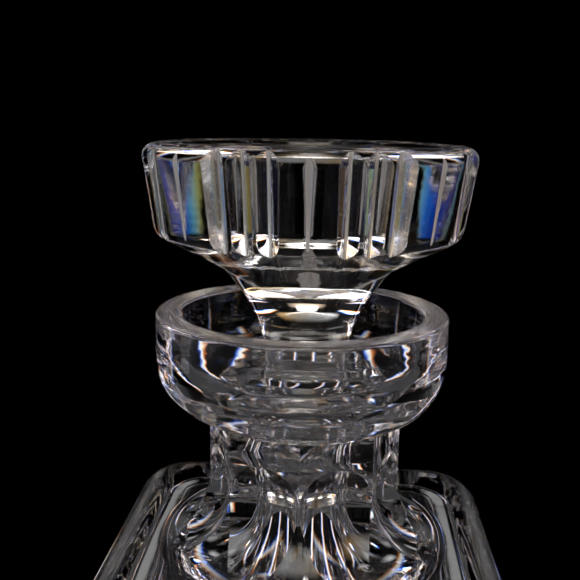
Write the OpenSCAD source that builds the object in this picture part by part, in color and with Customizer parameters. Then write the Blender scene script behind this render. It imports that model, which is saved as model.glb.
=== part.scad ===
// Cut crystal decanter: a square-bodied vessel with a cup-shaped collar, and a solid
// disc stopper whose tapered plug is ground into the neck.
// Frame: origin at the centre of the foot, +Z up, -Y is the front face.

/* [Body] */
// Width and depth of the square body
body_w = 96; // [92:1:108]
// Height of the flat of the shoulder above the foot
shoulder_z = 145; // [130:1:170]
// Radius of the four upright corners
corner_r = 15; // [12:0.5:18]
// Rounding of the shoulder's outer edge
shoulder_r = 9; // [7:0.5:10]
// Rounding of the foot's outer edge
foot_r = 4; // [2:0.5:6]
// Thickness of the upright walls
wall_t = 8; // [7:0.5:10]
// Thickness of the heavy foot under the cavity
foot_t = 15; // [12:0.5:20]

/* [Neck and collar] */
// Height of the collar's rim above the shoulder
rim_rise = 56; // [55:0.5:60]
// Radius of the neck across its upright edges
neck_r = 22.7; // [22:0.1:23.5]
// Number of flat cuts round the neck, and of petals under them
neck_cuts = 8; // [8]
// Outer radius of the collar
collar_r = 33.9; // [33:0.1:35]
// Inner radius of the collar at its rim
cup_r = 28.1; // [27.5:0.1:28.5]
// Depth of the cup inside the collar
cup_depth = 17.3; // [16.8:0.1:17.6]

/* [Stopper] */
// Largest radius of the disc head
head_r = 37.4; // [36:0.1:39]
// Height of the head's flat top above the collar's rim
head_rise = 38.2; // [37.5:0.1:40]
// Height of the low button in the middle of the top
button_h = 0.5; // [0.3:0.1:0.8]
// Turn of the stopper's cuts against the body's faces
stopper_turn = 2; // [0:1:22]
// Radius of the waist of the stem
waist_r = 9.65; // [9.2:0.05:9.7]
// Radius of the plug where its taper starts
plug_r = 10; // [9.8:0.05:10.2]
// Length of the tapered plug
plug_len = 26.2; // [24:0.1:27]
// Radial gap between the plug and the bore it is ground into
ground_gap = 0.05; // [0.03:0.01:0.08]
// Number of plain panels round the head, each with a single fine mitre
head_panels = 8; // [8]
// Depth of the three deep mitres between each pair of panels
deep_cut = 2.6; // [2:0.1:2.7]
// Depth of the fine mitre down each panel
fine_cut = 1.2; // [0.8:0.1:1.4]

/* [Body cuts] */
// Depth of the three deep mitres near each side of a face
body_cut = 2.2; // [1.6:0.1:2.8]
// Depth of the single mitre down the middle of a face
face_cut = 0.8; // [0.6:0.1:1.2]

/* [Hidden] */
$fn = 96;

half_w = body_w / 2;
rim_z = shoulder_z + rim_rise;
cut_step = 360 / neck_cuts;
panel_step = 360 / head_panels;
taper = 0.05;              // fall in radius per millimetre of plug
plug_top = -18.3;          // where the taper starts, counted from the collar's rim
bore_top = -20.4;          // where the cup's funnel meets the bore, counted the same way

// Points of an arc in the radius-height plane, from angle a0 to angle a1
function arc(cx, cz, r, a0, a1, n) =
    [for (i = [0 : n]) let (a = a0 + (a1 - a0) * i / n) [cx + r * cos(a), cz + r * sin(a)]];

// Points with every height moved by dz
function lifted(points, dz) = [for (p = points) [p[0], p[1] + dz]];

function plug_radius(h) = plug_r - taper * (plug_top - h);
function bore_radius(h) = plug_radius(h) + ground_gap;

// ---- Vessel ------------------------------------------------------------------

// Side view of the body: the foot's and shoulder's edges are rounded
module side_outline(w, z0, z1, r_low, r_high) {
    polygon(concat(
        arc(w - r_low, z0 + r_low, r_low, -90, 0, 4),
        arc(w - r_high, z1 - r_high, r_high, 0, 90, 6),
        arc(-w + r_high, z1 - r_high, r_high, 90, 180, 6),
        arc(-w + r_low, z0 + r_low, r_low, 180, 270, 4)));
}

// Plan of the body: a square with round corners
module plan_outline(w, r) {
    union() {
        square([2 * w, 2 * (w - r)], center = true);
        square([2 * (w - r), 2 * w], center = true);
        for (x = [-1, 1], y = [-1, 1]) {
            translate([x * (w - r), y * (w - r)]) circle(r);
        }
    }
}

// A square block whose upright corners and whose top and bottom edges are rounded
module rounded_block(w, r, z0, z1, r_low, r_high) {
    corner_reach = sqrt(2) * (w - r) + r;
    intersection() {
        translate([0, 0, z0]) linear_extrude(z1 - z0) plan_outline(w, r);
        rotate([90, 0, 0]) linear_extrude(3 * w, center = true)
            side_outline(w, z0, z1, r_low, r_high);
        rotate([90, 0, 90]) linear_extrude(3 * w, center = true)
            side_outline(w, z0, z1, r_low, r_high);
        rotate_extrude() polygon(concat(
            [[0, z0]],
            arc(corner_reach - r_low, z0 + r_low, r_low, -90, 0, 4),
            arc(corner_reach - r_high, z1 - r_high, r_high, 0, 90, 6),
            [[0, z1]]));
    }
}

// The neck before it is hollowed: flat upright cuts, then a cove out to the shoulder
module neck_blank() {
    cove_r = 15;
    cove_z = -rim_rise + cove_r;
    translate([0, 0, rim_z]) {
        translate([0, 0, -rim_rise - 1])
            linear_extrude(rim_rise - 22) circle(neck_r, $fn = neck_cuts);
        rotate_extrude() polygon(concat(
            [[0, -rim_rise - 1], [neck_r + cove_r, -rim_rise - 1]],
            arc(neck_r + cove_r, cove_z, cove_r, 270, 190, 8),
            [[0, cove_z - cove_r * sin(10)]]));
    }
}

// One petal's cutting wheel, with its axle level and square to the radius
module petal_wheel() {
    wheel_r = 16;
    rim_curve = 20;
    half_t = 12;
    floor_r = neck_r * cos(cut_step / 2) - 2;
    translate([floor_r + wheel_r, 0, rim_z - 39.3]) rotate([90, 0, 0])
        rotate_extrude() polygon(concat(
            [[0, -half_t]],
            [for (v = [-half_t : 2 : half_t])
                [wheel_r - rim_curve + sqrt(rim_curve * rim_curve - v * v), v]],
            [[0, half_t]]));
}

module collar_blank() {
    curve_r = 13.6;
    foot_a = acos((neck_r - collar_r + curve_r) / curve_r);
    translate([0, 0, rim_z]) rotate_extrude() polygon(concat(
        [[0, -24]],
        arc(collar_r - curve_r, -10.6, curve_r, -foot_a, 0, 8),
        arc(collar_r - 0.8, -0.8, 0.8, 0, 90, 3),
        [[0, 0]]));
}

// The cup in the collar, the funnel under it and the tapered bore
module cup_and_bore() {
    bend_r = 10;
    lip_r = 2.4;
    floor_z = -cup_depth;
    flare_r = 19;
    flare_z = plug_top - plug_len;
    flare_x = bore_radius(flare_z) + flare_r;
    cavity_top = -rim_rise - wall_t;
    translate([0, 0, rim_z]) {
        rotate_extrude() polygon(concat(
            [[0, 1], [cup_r + 1, 1], [cup_r + 0.6, 0]],
            arc(cup_r + 0.6, -0.6, 0.6, 90, 180, 3),
            arc(cup_r - 0.6 - bend_r, floor_z + bend_r, bend_r, 0, -90, 6),
            arc(bore_radius(bore_top) + lip_r, bore_top, lip_r, 80, 180, 5),
            [[bore_radius(bore_top), bore_top], [0, bore_top]]));
        rotate_extrude() polygon(concat(
            [[0, bore_top + 0.5], [bore_radius(bore_top + 0.5), bore_top + 0.5]],
            arc(flare_x, flare_z, flare_r, 180, 262, 7),
            [[flare_x - 3, cavity_top - 1], [0, cavity_top - 1]]));
    }
}

module cavity() {
    rounded_block(half_w - wall_t, corner_r - 5, foot_t, shoulder_z - wall_t, 8, 8);
}

// One upright square-pointed cut in the front face, at x and depth deep
module upright_cut(x, depth) {
    low_z = 24;
    high_z = shoulder_z - 24;
    side = depth * sqrt(2);
    translate([x, -half_w, (low_z + high_z) / 2]) rotate([0, 0, 45])
        cube([side, side, high_z - low_z], center = true);
}

// Two groups of deep mitres and a single fine one on one face of the body
module face_cuts() {
    group_x = 19;
    pitch = 6.4;
    for (side = [-1, 1], i = [-1 : 1]) {
        upright_cut(side * group_x + i * pitch, body_cut);
    }
    upright_cut(0, face_cut);
}

// Shallow dish under the foot with a star of mitres
module foot_star() {
    star_r = 30;
    rays = 16;
    translate([0, 0, -1]) cylinder(h = 2.2, r = star_r);
    for (i = [0 : rays / 2 - 1]) {
        rotate([0, 0, i * 360 / rays]) translate([0, 0, 1.2]) rotate([45, 0, 0])
            cube([2 * star_r - 8, 2.2, 2.2], center = true);
    }
}

module decanter_vessel() {
    color([0.93, 0.95, 0.96, 0.5])
    difference() {
        union() {
            rounded_block(half_w, corner_r, 0, shoulder_z, foot_r, shoulder_r);
            neck_blank();
            collar_blank();
        }
        cup_and_bore();
        cavity();
        foot_star();
        for (i = [0 : neck_cuts - 1]) {
            rotate([0, 0, (i + 0.5) * cut_step]) petal_wheel();
        }
        for (i = [0 : 3]) {
            rotate([0, 0, i * 90]) face_cuts();
        }
    }
}

// ---- Stopper -----------------------------------------------------------------

// The head, the trumpet-shaped stem and the plug, turned in one; heights count from
// the collar's rim
module stopper_blank() {
    top_bend = 3;
    foot_bend = 3.2;
    foot_z = head_rise - 17.64;
    cone_top = [20.7, head_rise - 27.2];
    cone_mid = [18.4, head_rise - 29.3];
    stem_top = [15.5, 5.2];
    stem_z = -11.8;
    stem_fall = stem_top[1] - stem_z;
    stem_spread = stem_top[0] - waist_r;
    stem_curve = (stem_spread * stem_spread + stem_fall * stem_fall) / (2 * stem_spread);
    stem_a = 180 - asin(stem_fall / stem_curve);
    plug_foot = plug_top - plug_len;
    chamfer = 0.8;
    button_r = 8;
    rotate_extrude() polygon(lifted(concat(
        [[0, head_rise + button_h],
         [button_r - 1, head_rise + button_h],
         [button_r, head_rise]],
        arc(head_r - top_bend, head_rise - top_bend, top_bend, 90, 0, 4),
        arc(head_r - 2.3 - foot_bend, foot_z, foot_bend, -7, -62, 4),
        [cone_top, cone_mid],
        arc(waist_r + stem_curve, stem_z, stem_curve, stem_a, 180, 8),
        [[plug_r, plug_top],
         [plug_radius(plug_foot + chamfer), plug_foot + chamfer],
         [plug_radius(plug_foot) - chamfer, plug_foot],
         [0, plug_foot]]), rim_z));
}

// A square-pointed cut that leans with the head's side and goes depth deep
module mitre(depth, side) {
    lean = 7;
    mid_z = head_rise - 9;
    mid_r = head_r - 0.8;
    translate([mid_r - depth + side / sqrt(2), 0, rim_z + mid_z])
        rotate([0, lean, 0]) rotate([0, 0, 45]) cube([side, side, 40], center = true);
}

// Three deep mitres between each pair of panels, and a fine one down each panel. The
// mitres stand closer to the front, back and side panels than to the four between them
module head_cuts() {
    deep_step = 8.6;
    group_turn = 21.2;
    for (p = [0 : head_panels - 1]) {
        rotate([0, 0, p * panel_step]) mitre(fine_cut, 3);
    }
    for (p = [0 : 2 : head_panels - 1], side = [-1, 1], i = [-1 : 1]) {
        rotate([0, 0, p * panel_step + side * group_turn + i * deep_step])
            mitre(deep_cut, 5.4);
    }
}

module stopper() {
    color([0.95, 0.97, 0.98, 0.5])
    rotate([0, 0, stopper_turn])
    difference() {
        stopper_blank();
        head_cuts();
    }
}

decanter_vessel();
stopper();
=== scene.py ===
from math import asin, cos, degrees, hypot, pi, radians, sin, sqrt

import bmesh
import bpy
from mathutils import Matrix, Vector


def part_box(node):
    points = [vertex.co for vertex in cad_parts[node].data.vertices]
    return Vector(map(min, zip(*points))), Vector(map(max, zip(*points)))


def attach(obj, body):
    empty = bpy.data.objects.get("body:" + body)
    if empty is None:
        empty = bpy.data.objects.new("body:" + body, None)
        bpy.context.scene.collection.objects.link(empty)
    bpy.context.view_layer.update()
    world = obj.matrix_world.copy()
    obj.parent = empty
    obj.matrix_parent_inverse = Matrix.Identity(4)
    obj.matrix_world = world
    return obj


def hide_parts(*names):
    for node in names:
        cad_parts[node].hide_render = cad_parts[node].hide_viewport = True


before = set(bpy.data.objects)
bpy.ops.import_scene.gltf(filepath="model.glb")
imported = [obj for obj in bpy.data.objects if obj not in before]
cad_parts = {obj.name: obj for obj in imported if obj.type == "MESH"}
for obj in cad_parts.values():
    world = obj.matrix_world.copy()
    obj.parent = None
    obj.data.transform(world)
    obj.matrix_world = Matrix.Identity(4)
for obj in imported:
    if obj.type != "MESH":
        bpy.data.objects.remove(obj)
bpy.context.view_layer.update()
scene = bpy.context.scene
mm = 0.001

# ---- Table and light --------------------------------------------------------------
# The decanter stands near the back edge of a pale painted table in a dark room. Crystal
# shows what is round it more than itself, so it is lit by softboxes at chosen heights: in
# front, overhead, at both sides, and low down past the table's edge.

def linear(hex_colour):
    """An sRGB hex colour as the linear values that shaders take."""
    parts = [int(hex_colour[i:i + 2], 16) / 255 for i in (1, 3, 5)]
    return tuple(p / 12.92 if p <= 0.04045 else ((p + 0.055) / 1.055) ** 2.4 for p in parts) + (1,)


def add_node(tree, kind, settings=None, links=None):
    """Adds one node, sets its properties and sockets, and links sockets to other outputs."""
    node = tree.nodes.new(kind)
    for name, value in (settings or {}).items():
        if name in node.inputs:
            node.inputs[name].default_value = value
        else:
            setattr(node, name, value)
    for name, source in (links or {}).items():
        tree.links.new(source, node.inputs[name])
    return node


def new_object(name, bm, *materials):
    """Turns a finished bmesh into an object with its materials."""
    mesh = bpy.data.meshes.new(name)
    bm.to_mesh(mesh)
    bm.free()
    thing = bpy.data.objects.new(name, mesh)
    scene.collection.objects.link(thing)
    for material in materials:
        mesh.materials.append(material)
    return thing


def painted_board(name):
    """Matt pale-grey painted board: very slightly mottled, so it never looks flat."""
    paint = bpy.data.materials.new(name)
    paint.use_nodes = True
    tree = paint.node_tree
    shader = tree.nodes["Principled BSDF"]
    where = add_node(tree, "ShaderNodeTexCoord")
    mottle = add_node(tree, "ShaderNodeTexNoise", {"Scale": 9.0, "Detail": 4.0},
                      {"Vector": where.outputs["Object"]})
    shade = add_node(tree, "ShaderNodeValToRGB", None, {"Fac": mottle.outputs["Fac"]})
    shade.color_ramp.elements[0].color = linear("#c6c9cf")
    shade.color_ramp.elements[1].color = linear("#d6d8dc")
    tree.links.new(shade.outputs["Color"], shader.inputs["Base Color"])
    shader.inputs["Roughness"].default_value = 0.6
    return paint


table_size = (0.9, 0.66)
table_back = 0.21
table_thick = 0.02
bm = bmesh.new()
bmesh.ops.create_cube(bm, size=1)
bmesh.ops.scale(bm, vec=(*table_size, table_thick), verts=bm.verts)
bmesh.ops.translate(bm, vec=(0, table_back - table_size[1] / 2, -table_thick / 2), verts=bm.verts)
bmesh.ops.bevel(bm, geom=bm.edges[:], offset=3 * mm, affect="EDGES", segments=4, profile=0.5,
                material=-1)
table = new_object("table", bm, painted_board("painted_board"))

world = bpy.data.worlds.new("dark_room")
world.use_nodes = True
world.node_tree.nodes["Background"].inputs["Color"].default_value = (0, 0, 0, 1)
scene.world = world
scene.view_settings.view_transform = "Standard"

# The big lights are flagged off the table, so that it stays dim behind the crystal.
flagged = bpy.data.collections.new("flagged_off")
flagged.objects.link(table)
flagged.collection_objects[0].light_linking.link_state = "EXCLUDE"


def soft_light(name, place, size, brightness, gels=("#000000", "#ffffff", "#ffffff", "#000000"),
               lit=flagged):
    """A softbox at place that faces the crystal. Its gels follow each other from left to
    right, and it fades towards its top and bottom."""
    lamp = bpy.data.lights.new(name, "AREA")
    lamp.shape = "RECTANGLE"
    lamp.size, lamp.size_y = size
    lamp.energy = brightness * pi * size[0] * size[1]
    lamp.use_nodes = True
    tree = lamp.node_tree
    glow = tree.nodes["Emission"]
    spot = add_node(tree, "ShaderNodeNewGeometry")
    spot = add_node(tree, "ShaderNodeSeparateXYZ", None, {"Vector": spot.outputs["Parametric"]})
    for axis, colours, socket in (("X", gels, "Color"),
                                  ("Y", ("#000000", "#ffffff", "#ffffff", "#000000"), "Strength")):
        ramp = add_node(tree, "ShaderNodeValToRGB", None, {"Fac": spot.outputs[axis]})
        stops = ramp.color_ramp.elements
        stops.remove(stops[1])
        stops[0].color = linear(colours[0])
        for i, colour in enumerate(colours[1:], 1):
            stops.new(i / (len(colours) - 1)).color = linear(colour)
        tree.links.new(ramp.outputs["Color"], glow.inputs[socket])
    holder = bpy.data.objects.new(name, lamp)
    scene.collection.objects.link(holder)
    holder.location = place
    holder.rotation_euler = (Vector(place) - Vector((0, 0, 0.18))).to_track_quat("Z", "Y").to_euler()
    holder.visible_camera = False
    holder.light_linking.receiver_collection = lit


# The wide front light makes the bright toes of the cuts. A small warm one overhead lights
# the rims, and a faint card high at the back fills the shoulder. The table has its own.
stopper_only = bpy.data.collections.new("stopper_only")
vessel_only = bpy.data.collections.new("vessel_only")
sunset = ["#000000", "#ffffff", "#ffffff", "#fff0dc", "#ffd08c", "#000000"]
warm = ["#000000", "#ffe2c4", "#ffe2c4", "#000000"]
soft_light("front_light", (0, -0.95, 1.25), (2.0, 1.2), 2.9, sunset)
soft_light("overhead_light", (0, 0.05, 1.75), (0.8, 0.6), 1.3, warm)
soft_light("back_card", (0, 1.1, 1.15), (0.9, 0.3), 0.5, lit=vessel_only)
soft_light("table_light", (0, -0.2, 1.7), (0.5, 0.5), 6, lit=None)

# Tall strips at both sides draw the white lines down the edges, and small ones past the
# table's edge draw the fine lines in the collar and shoulder. Their long edges are tinted,
# as the edge of any light is once it has passed a prism. The rainbow panels behind the
# stopper stand for the full spread of colour that its flat sides throw.
fringed = ["#000000", "#c06a20", "#ffe8c8", "#ffffff", "#d8e8ff", "#2a62d8", "#000000"]
rainbow = ["#000000", "#241812", "#6e5a2c", "#7c8450", "#4c88a0", "#1658b0", "#0c3ca0", "#0a3094",
           "#0e2480", "#0c165c", "#000000"]
for side, name in ((-1, "left_"), (1, "right_")):
    soft_light(name + "back_strip", (side * 1.05, 0.55, 0.95), (0.24, 1.5), 6.5, fringed)
    soft_light(name + "front_strip", (side * 1.1, -0.35, 0.95), (0.24, 1.5), 6.5, fringed)
    soft_light(name + "low_strip_1", (side * 0.14, 0.85, -0.32), (0.06, 0.35), 1.2, fringed, vessel_only)
    soft_light(name + "low_strip_2", (side * 0.42, 0.75, -0.3), (0.1, 0.4), 1.4, fringed, vessel_only)
    soft_light(name + "low_strip_3", (side * 1.0, 0.45, -0.1), (0.12, 0.3), 2.0, fringed, vessel_only)
    soft_light(name + "side_card", (side * 0.75, 1.2, 0.42), (0.6, 0.9), 0.25, lit=vessel_only)
    soft_light(name + "low_card", (side * 0.62, -0.88, 0.0), (0.3, 0.25), 1.5, lit=stopper_only)
    soft_light(name + "rainbow", (side * 0.77, 1.28, 0.25), (0.88, 0.4), 0.9, rainbow[::-side],
               stopper_only)

# ---- The vessel -----------------------------------------------------------------
# Body, shoulder, neck and collar are one piece of full lead crystal, blown thick in a
# square mould. Its neck is cut into eight flats that open into petals at the shoulder,
# and the collar's rim and the bore are ground.

vessel_low, vessel_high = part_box("decanter_vessel")
rim_z = vessel_high.z
body_half = vessel_high.x
rim_rise = 56
shoulder_z = rim_z - rim_rise * mm
wall = 8 * mm
tiny = 1e-6


def arc(cx, cz, r, start, end, steps):
    """Points of a round stretch of an outline, between two angles in degrees."""
    turns = [radians(start + (end - start) * i / steps) for i in range(steps + 1)]
    return [(cx + r * cos(a), cz + r * sin(a)) for a in turns]


def turned(outline, base=0.0, steps=192):
    """Spins an outline of (radius, height) pairs in millimetres about the upright axis."""
    bm = bmesh.new()
    chain = [bm.verts.new((r * mm, 0, base + z * mm)) for r, z in outline]
    line = [bm.edges.new(pair) for pair in zip(chain, chain[1:])]
    bmesh.ops.spin(bm, geom=chain + line, cent=(0, 0, 0), axis=(0, 0, 1), angle=2 * pi,
                   steps=steps, use_merge=True)
    bmesh.ops.remove_doubles(bm, verts=bm.verts, dist=tiny)
    bmesh.ops.recalc_face_normals(bm, faces=bm.faces)
    return bm


def block(half, bottom, top, corner, low_edge, high_edge, steps):
    """A square block with round upright corners and rounded top and bottom edges."""
    bm = bmesh.new()
    bmesh.ops.create_cube(bm, size=1)
    bmesh.ops.scale(bm, vec=(2 * half, 2 * half, top - bottom), verts=bm.verts)
    bmesh.ops.translate(bm, vec=(0, 0, (top + bottom) / 2), verts=bm.verts)
    upright = [e for e in bm.edges if abs(e.verts[0].co.z - e.verts[1].co.z) > tiny]
    bmesh.ops.bevel(bm, geom=upright, offset=corner, affect="EDGES", segments=steps, profile=0.5,
                    material=-1)
    for level, size in ((top, high_edge), (bottom, low_edge)):
        ring = [e for e in bm.edges if all(abs(v.co.z - level) < tiny for v in e.verts)]
        bmesh.ops.bevel(bm, geom=ring, offset=size, affect="EDGES", segments=steps, profile=0.5,
                        material=-1)
    return bm


def around(make, count, first=0.0):
    """Joins count copies of a tool, spaced evenly round the upright axis."""
    whole = bmesh.new()
    for i in range(count):
        one = make()
        bmesh.ops.rotate(one, cent=(0, 0, 0), matrix=Matrix.Rotation(first + 2 * pi * i / count, 3, "Z"),
                         verts=one.verts)
        copy = bpy.data.meshes.new("copy")
        one.to_mesh(copy)
        one.free()
        whole.from_mesh(copy)
        bpy.data.meshes.remove(copy)
    return whole


def carve(blank, tool, operation="DIFFERENCE"):
    """Cuts a tool's shape out of a blank, or joins it on, and leaves one clean mesh."""
    cutter = new_object("cutter", tool, *blank.data.materials)
    cut = blank.modifiers.new("cut", "BOOLEAN")
    cut.operation = operation
    cut.solver = "MANIFOLD"
    cut.object = cutter
    seen = bpy.context.evaluated_depsgraph_get()
    shape = bpy.data.meshes.new_from_object(blank.evaluated_get(seen))
    blank.modifiers.clear()
    spare = blank.data
    blank.data = shape
    bpy.data.meshes.remove(spare)
    bpy.data.objects.remove(cutter)


def polish(piece, sharpest=24):
    """Smooths the faces, and keeps the edges sharp where two cuts meet."""
    bm = bmesh.new()
    bm.from_mesh(piece.data)
    bmesh.ops.remove_doubles(bm, verts=bm.verts, dist=2e-6)
    bmesh.ops.dissolve_degenerate(bm, edges=bm.edges, dist=2e-6)
    for face in bm.faces:
        face.smooth = True
    for edge in bm.edges:
        edge.smooth = edge.is_manifold and edge.calc_face_angle(0) < radians(sharpest)
    bm.to_mesh(piece.data)
    bm.free()


def lead_crystal(name, swell, marks, marked_from):
    """Fire-polished full lead crystal: colourless, bright at its edges, wavy by the height
    of swell and, above marked_from, faintly ringed by the lathe to that of marks. It has a
    few specks of dust."""
    glass = bpy.data.materials.new(name)
    glass.use_nodes = True
    tree = glass.node_tree
    shader = tree.nodes["Principled BSDF"]
    shader.inputs["Base Color"].default_value = linear("#ffffff")
    shader.inputs["Transmission Weight"].default_value = 1.0
    shader.inputs["IOR"].default_value = 1.545
    where = add_node(tree, "ShaderNodeTexCoord")
    wave = add_node(tree, "ShaderNodeTexNoise", {"Scale": 1 / (11 * mm), "Detail": 3.0},
                    {"Vector": where.outputs["Object"]})
    worn = add_node(tree, "ShaderNodeBevel", {"samples": 4, "Radius": 0.3 * mm})
    rolling = add_node(tree, "ShaderNodeBump", {"Strength": 1.0, "Distance": swell},
                       {"Height": wave.outputs["Fac"], "Normal": worn.outputs["Normal"]})
    lines = add_node(tree, "ShaderNodeTexWave",
                     {"bands_direction": "Z", "Scale": 2 * pi / (20 * 1.8 * mm), "Distortion": 5.0,
                      "Detail": 3.0, "Detail Scale": 0.3},
                     {"Vector": where.outputs["Object"]})
    height = add_node(tree, "ShaderNodeSeparateXYZ", None, {"Vector": where.outputs["Object"]})
    lathe = add_node(tree, "ShaderNodeMapRange",
                     {"From Min": marked_from, "From Max": marked_from + 8 * mm},
                     {"Value": height.outputs["Z"]})
    bump = add_node(tree, "ShaderNodeBump", {"Distance": marks},
                    {"Height": lines.outputs["Fac"], "Strength": lathe.outputs["Result"],
                     "Normal": rolling.outputs["Normal"]})
    tree.links.new(bump.outputs["Normal"], shader.inputs["Normal"])
    speck = add_node(tree, "ShaderNodeTexVoronoi", {"Scale": 1 / (4.5 * mm)},
                     {"Vector": where.outputs["Object"]})
    dust = add_node(tree, "ShaderNodeMath", {"operation": "LESS_THAN"}, None)
    dust.inputs[1].default_value = 0.035
    tree.links.new(speck.outputs["Distance"], dust.inputs[0])
    rough = add_node(tree, "ShaderNodeMath", {"operation": "MULTIPLY"}, None)
    rough.inputs[1].default_value = 0.5
    tree.links.new(dust.outputs[0], rough.inputs[0])
    tree.links.new(rough.outputs[0], shader.inputs["Roughness"])
    return glass


def lapped_crystal(name):
    """A rim ground flat on a turning lap and only part polished: fine rings that catch
    the light as an even pale grey."""
    glass = bpy.data.materials.new(name)
    glass.use_nodes = True
    tree = glass.node_tree
    shader = tree.nodes["Principled BSDF"]
    shader.inputs["Base Color"].default_value = linear("#f4f2ec")
    shader.inputs["Transmission Weight"].default_value = 0.94
    shader.inputs["IOR"].default_value = 1.545
    where = add_node(tree, "ShaderNodeTexCoord")
    rings = add_node(tree, "ShaderNodeTexWave",
                     {"wave_type": "RINGS", "rings_direction": "Z", "Scale": 2 * pi / (20 * 0.9 * mm),
                      "Distortion": 3.0, "Detail": 3.0, "Detail Scale": 0.4},
                     {"Vector": where.outputs["Object"]})
    bump = add_node(tree, "ShaderNodeBump", {"Strength": 0.5, "Distance": 0.05 * mm},
                    {"Height": rings.outputs["Fac"]})
    tree.links.new(bump.outputs["Normal"], shader.inputs["Normal"])
    rough = add_node(tree, "ShaderNodeMapRange", {"To Min": 0.05, "To Max": 0.25},
                     {"Value": rings.outputs["Fac"]})
    tree.links.new(rough.outputs["Result"], shader.inputs["Roughness"])
    return glass


crystal = lead_crystal("blown_crystal", 0.08 * mm, 0.008 * mm, shoulder_z + 20 * mm)
lapped = lapped_crystal("lapped_crystal")

# Outside, from the cove that is sunk a hair into the shoulder, up the neck and round the
# collar's belly to its rim. Heights are measured from the rim.
neck_r = 22.7
collar_r = 33.9
cove_r = 15
belly_r = 13.6
lip_r = 0.9
outer = ([(0, -62), (neck_r + cove_r, -62)]
         + arc(neck_r + cove_r, cove_r - rim_rise - 0.15, cove_r, 270, 180, 24)
         + [(neck_r, -30)]
         + arc(collar_r - belly_r, -10.6, belly_r, -80, 0, 28)
         + arc(collar_r - lip_r, -lip_r, lip_r, 0, 90, 6)
         + [(0, 0)])

# Inside, from the cup down the bore, which is ground 1 in 10 to the stopper's plug with a
# hair of room, to the flare that opens into the body.
plug_r = 10.0
plug_top = -18.3
plug_foot = -44.5
taper = 0.05
room = 0.05
mouth_z = -20.4
mouth_r = 9.95
foot_r = plug_r - taper * (plug_top - plug_foot)
cup_r = 28.1
cup_curve = 10
cup_floor = -17.3
flare_r = 19
inner = ([(0, 2), (30.2, 2), (cup_r + 0.8, 0.02)]
         + arc(cup_r + 0.8, -0.8, 0.8, 90, 180, 6)
         + arc(cup_r - cup_curve - 0.5, cup_floor + cup_curve, cup_curve, 0, -90, 20)
         + arc(mouth_r + 2.4, mouth_z, 2.4, 80, 180, 10)
         + arc(foot_r + room + flare_r, plug_foot, flare_r, 180, 265, 20)
         + [(foot_r + room + flare_r - 1.6, -66), (0, -66)])

vessel = new_object("crystal_vessel", block(body_half, 0, shoulder_z, 15 * mm, 4 * mm, 9 * mm, 12),
                    crystal, lapped)
carve(vessel, turned(outer, rim_z), "UNION")


def neck_flat():
    """The flat stone that cuts one upright facet of the neck."""
    bm = bmesh.new()
    bmesh.ops.create_cube(bm, size=1)
    bmesh.ops.scale(bm, vec=(20 * mm, 40 * mm, 15.6 * mm), verts=bm.verts)
    flat = neck_r * mm * cos(pi / 8)
    bmesh.ops.translate(bm, vec=(flat + 10 * mm, 0, rim_z - 32.4 * mm), verts=bm.verts)
    return bm


def petal_wheel():
    """The round-rimmed wheel that hollows one petal, its axle level."""
    wheel_r, rim_curve, half_t = 16, 20, 12
    widths = [half_t * (i / 12 - 1) for i in range(25)]
    rim = [(wheel_r - rim_curve + sqrt(rim_curve ** 2 - w * w), w) for w in widths]
    bm = turned([(0, -half_t)] + rim + [(0, half_t)], steps=96)
    bmesh.ops.rotate(bm, cent=(0, 0, 0), matrix=Matrix.Rotation(pi / 2, 3, "X"), verts=bm.verts)
    floor_r = neck_r * cos(pi / 8) - 2
    bmesh.ops.translate(bm, vec=((floor_r + wheel_r) * mm, 0, rim_z - 39.3 * mm), verts=bm.verts)
    return bm


for turn in (pi / 8, 3 * pi / 8):
    carve(vessel, around(neck_flat, 4, turn))
    carve(vessel, around(petal_wheel, 4, turn))
carve(vessel, turned(inner, rim_z))
carve(vessel, block(body_half - wall, 15 * mm, shoulder_z - wall, 12 * mm, 9 * mm, 9 * mm, 10))


def pointed_cut(depth, side, low, high, reach, runout):
    """A square-pointed wheel cut, upright, that runs out to a point at both ends."""
    bar = [(0, low), (side, low + runout), (side, high - runout), (0, high)]
    bm = turned(bar, steps=4)
    bmesh.ops.translate(bm, vec=(0, -reach - (side - depth) * mm, 0), verts=bm.verts)
    return bm


def face_cut(offset, depth, low, high):
    """One upright mitre on a face of the body, at an offset from its middle."""
    def one():
        bm = pointed_cut(depth, 5, low, high, body_half, 10)
        bmesh.ops.translate(bm, vec=(offset * mm, 0, 0), verts=bm.verts)
        return bm
    return one


group_x = 19
cut_pitch = 6.4
deep_cuts = [(side * group_x + i * cut_pitch, 2.2) for side in (-1, 1) for i in (-1, 0, 1)]
for offset, depth in [(0, 1.0)] + deep_cuts:
    carve(vessel, around(face_cut(offset, depth, 24, 121), 4))


def foot_ray():
    """One ray of the star under the foot."""
    bm = turned([(0, -26), (3, -14), (3, 14), (0, 26)], steps=4)
    bmesh.ops.rotate(bm, cent=(0, 0, 0), matrix=Matrix.Rotation(pi / 2, 3, "Y"), verts=bm.verts)
    bmesh.ops.translate(bm, vec=(0, 0, (1.2 + 1.6 - 3) * mm), verts=bm.verts)
    return bm


carve(vessel, turned([(0, -2), (30.6, -2), (30, 1.2), (0, 1.2)]))
for i in range(8):
    carve(vessel, around(foot_ray, 1, pi * i / 8))


def eased(x):
    """Rises smoothly from 0 to 1 as x does, and is held there beyond both."""
    x = min(max(x, 0), 1)
    return x * x * (3 - 2 * x)


# The collar was shaped by hand, and sits a millimetre to one side of the neck and bore.
for v in vessel.data.vertices:
    above_neck = eased((v.co.z - rim_z + 25 * mm) / (8 * mm))
    off_bore = eased((hypot(v.co.x, v.co.y) - 14 * mm) / (9 * mm))
    v.co.x -= 1.1 * mm * above_neck * off_bore
polish(vessel)

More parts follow.
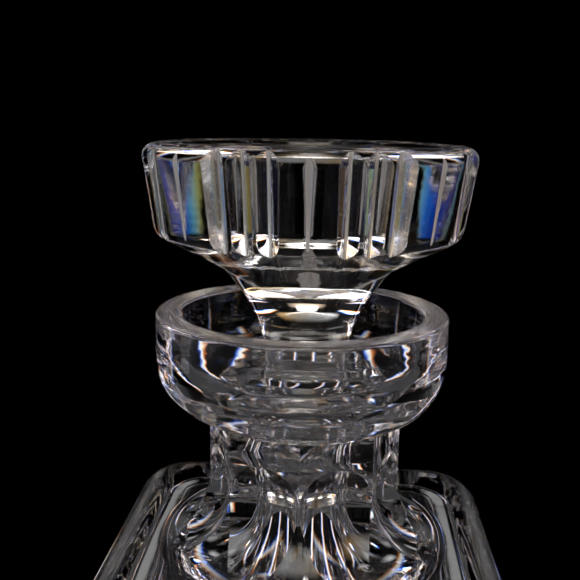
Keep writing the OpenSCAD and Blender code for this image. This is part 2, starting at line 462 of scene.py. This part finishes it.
# Its flat rim keeps the rings of the lap.
for face in vessel.data.polygons:
    if face.center.z > rim_z - 0.2 * mm and face.normal.z > 0.9:
        face.material_index = 1
vessel_only.objects.link(vessel)
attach(vessel, "vessel")
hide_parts("decanter_vessel")

# ---- The stopper ----------------------------------------------------------------
# The stopper is one solid piece of the same crystal: a thick disc head, a trumpet stem
# and a plug ground to the neck's taper. The head's side is cut with eight plain panels, a
# fine mitre down each and three deep mitres between each pair, then mostly polished.

stopper_low, stopper_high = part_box("stopper")
head_rise = (stopper_high.z - rim_z) / mm - 0.5
head_r = 37.4
stem_top = (15.5, 5.2)
waist = (9.65, -11.8)
stem_spread = stem_top[0] - waist[0]
stem_fall = stem_top[1] - waist[1]
stem_curve = (stem_spread ** 2 + stem_fall ** 2) / (2 * stem_spread)
stem_angle = 180 - degrees(asin(stem_fall / stem_curve))
stopper_outline = ([(0, head_rise + 0.5), (7, head_rise + 0.5), (8, head_rise)]
                   + arc(head_r - 3, head_rise - 3, 3, 90, 0, 12)
                   + arc(head_r - 5.5, head_rise - 17.64, 3.2, -7, -62, 8)
                   + [(20.7, head_rise - 27.2), (18.4, head_rise - 29.3)]
                   + arc(waist[0] + stem_curve, waist[1], stem_curve, stem_angle, 180, 24)
                   + [(plug_r, plug_top), (foot_r + 0.04, plug_foot + 0.8),
                      (foot_r - 0.8, plug_foot), (0, plug_foot)])


def ground_crystal(name, clear, smoothest, roughest):
    """Crystal as the fine stone leaves it: a soft grey-white satin that lets part of the
    light through, more of it and less blurred where it is half polished."""
    glass = bpy.data.materials.new(name)
    glass.use_nodes = True
    tree = glass.node_tree
    shader = tree.nodes["Principled BSDF"]
    shader.inputs["Base Color"].default_value = linear("#f2f3f3")
    shader.inputs["Transmission Weight"].default_value = clear
    shader.inputs["IOR"].default_value = 1.545
    where = add_node(tree, "ShaderNodeTexCoord")
    grain = add_node(tree, "ShaderNodeTexNoise", {"Scale": 1 / (1.5 * mm), "Detail": 4.0},
                     {"Vector": where.outputs["Object"]})
    rough = add_node(tree, "ShaderNodeMapRange",
                     {"From Min": 0.3, "From Max": 0.7, "To Min": smoothest, "To Max": roughest},
                     {"Value": grain.outputs["Fac"]})
    tree.links.new(rough.outputs["Result"], shader.inputs["Roughness"])
    return glass


clear = lead_crystal("polished_crystal", 0.04 * mm, 0.003 * mm, shoulder_z)
satin = ground_crystal("ground_crystal", 0.45, 0.3, 0.55)
half_polished = ground_crystal("half_polished_crystal", 0.78, 0.05, 0.35)
stopper = new_object("crystal_stopper", turned(stopper_outline, rim_z, 256), clear, satin,
                     half_polished)


def head_mitre(depth, width, dull=(), finish=1):
    """The wheel cut of one mitre, leaning with the head's side. Its point is a little worn
    and stays satin. The walls on the sides listed as dull get the finish given."""
    def one():
        bm = turned([(0, -22), (width, -22), (width, 22), (0, 22)], steps=4)
        long_edges = [e for e in bm.edges if abs(e.verts[0].co.z - e.verts[1].co.z) > 10 * mm
                      and min(hypot(v.co.x, v.co.y) for v in e.verts) > tiny]
        worn = bmesh.ops.bevel(bm, geom=long_edges, offset=0.45 * mm, affect="EDGES", segments=2,
                               profile=0.5, material=-1)
        bm.normal_update()
        for face in bm.faces:
            if any(face.normal.y * d > 0.5 for d in dull):
                face.material_index = finish
        for face in worn["faces"]:
            face.material_index = 1
        bmesh.ops.rotate(bm, cent=(0, 0, 0), matrix=Matrix.Rotation(radians(7), 3, "Y"), verts=bm.verts)
        middle = (head_r - 0.8 - depth + width) * mm
        bmesh.ops.translate(bm, vec=(middle, 0, rim_z + (head_rise - 9) * mm), verts=bm.verts)
        return bm
    return one


# The stopper was put back a couple of degrees off square. The last wall of each group of
# three is only half polished, and the fine mitres aren't polished at all.
deep_cut = 2.6
fine_cut = 0.75
turn = radians(2 - 90)
group_turn = radians(21.2)
mitre_step = radians(8.6)
for side in (-1, 1):
    for i in (-1, 0, 1):
        mitre = head_mitre(deep_cut, 4.4, [side] if i == side else [], 2)
        carve(stopper, around(mitre, 4, turn + side * group_turn + mitre_step * i))
carve(stopper, around(head_mitre(fine_cut, 2.4, [-1, 1]), 8, turn))
polish(stopper)
stopper_only.objects.link(stopper)
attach(stopper, "stopper")
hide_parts("stopper")

# ---- Camera ---------------------------------------------------------------------
# A close view through a standard lens from just above the stopper, a little right of the
# front, with the camera held very slightly out of level.

camera_reach = 199 * mm
camera_turn = radians(2.12)
camera_rise = 45.5 * mm
camera_pitch = radians(11.62)
axis_offset = radians(1.15)
camera_roll = radians(0.95)
lens = bpy.data.cameras.new("camera")
lens.sensor_width = 36
lens.lens = 54.31
lens.clip_start = 0.01
camera = bpy.data.objects.new("camera", lens)
scene.collection.objects.link(camera)
camera.location = (camera_reach * sin(camera_turn), -camera_reach * cos(camera_turn),
                   rim_z + camera_rise)
aim = Matrix.Rotation(camera_turn + axis_offset, 3, "Z") @ Matrix.Rotation(pi / 2 - camera_pitch, 3, "X")
camera.rotation_euler = (aim @ Matrix.Rotation(camera_roll, 3, "Z")).to_euler()
scene.camera = camera

# Light has to pass many faces of cut crystal before it reaches the eye.
scene.cycles.max_bounces = 32
scene.cycles.transmission_bounces = 32
scene.cycles.glossy_bounces = 32
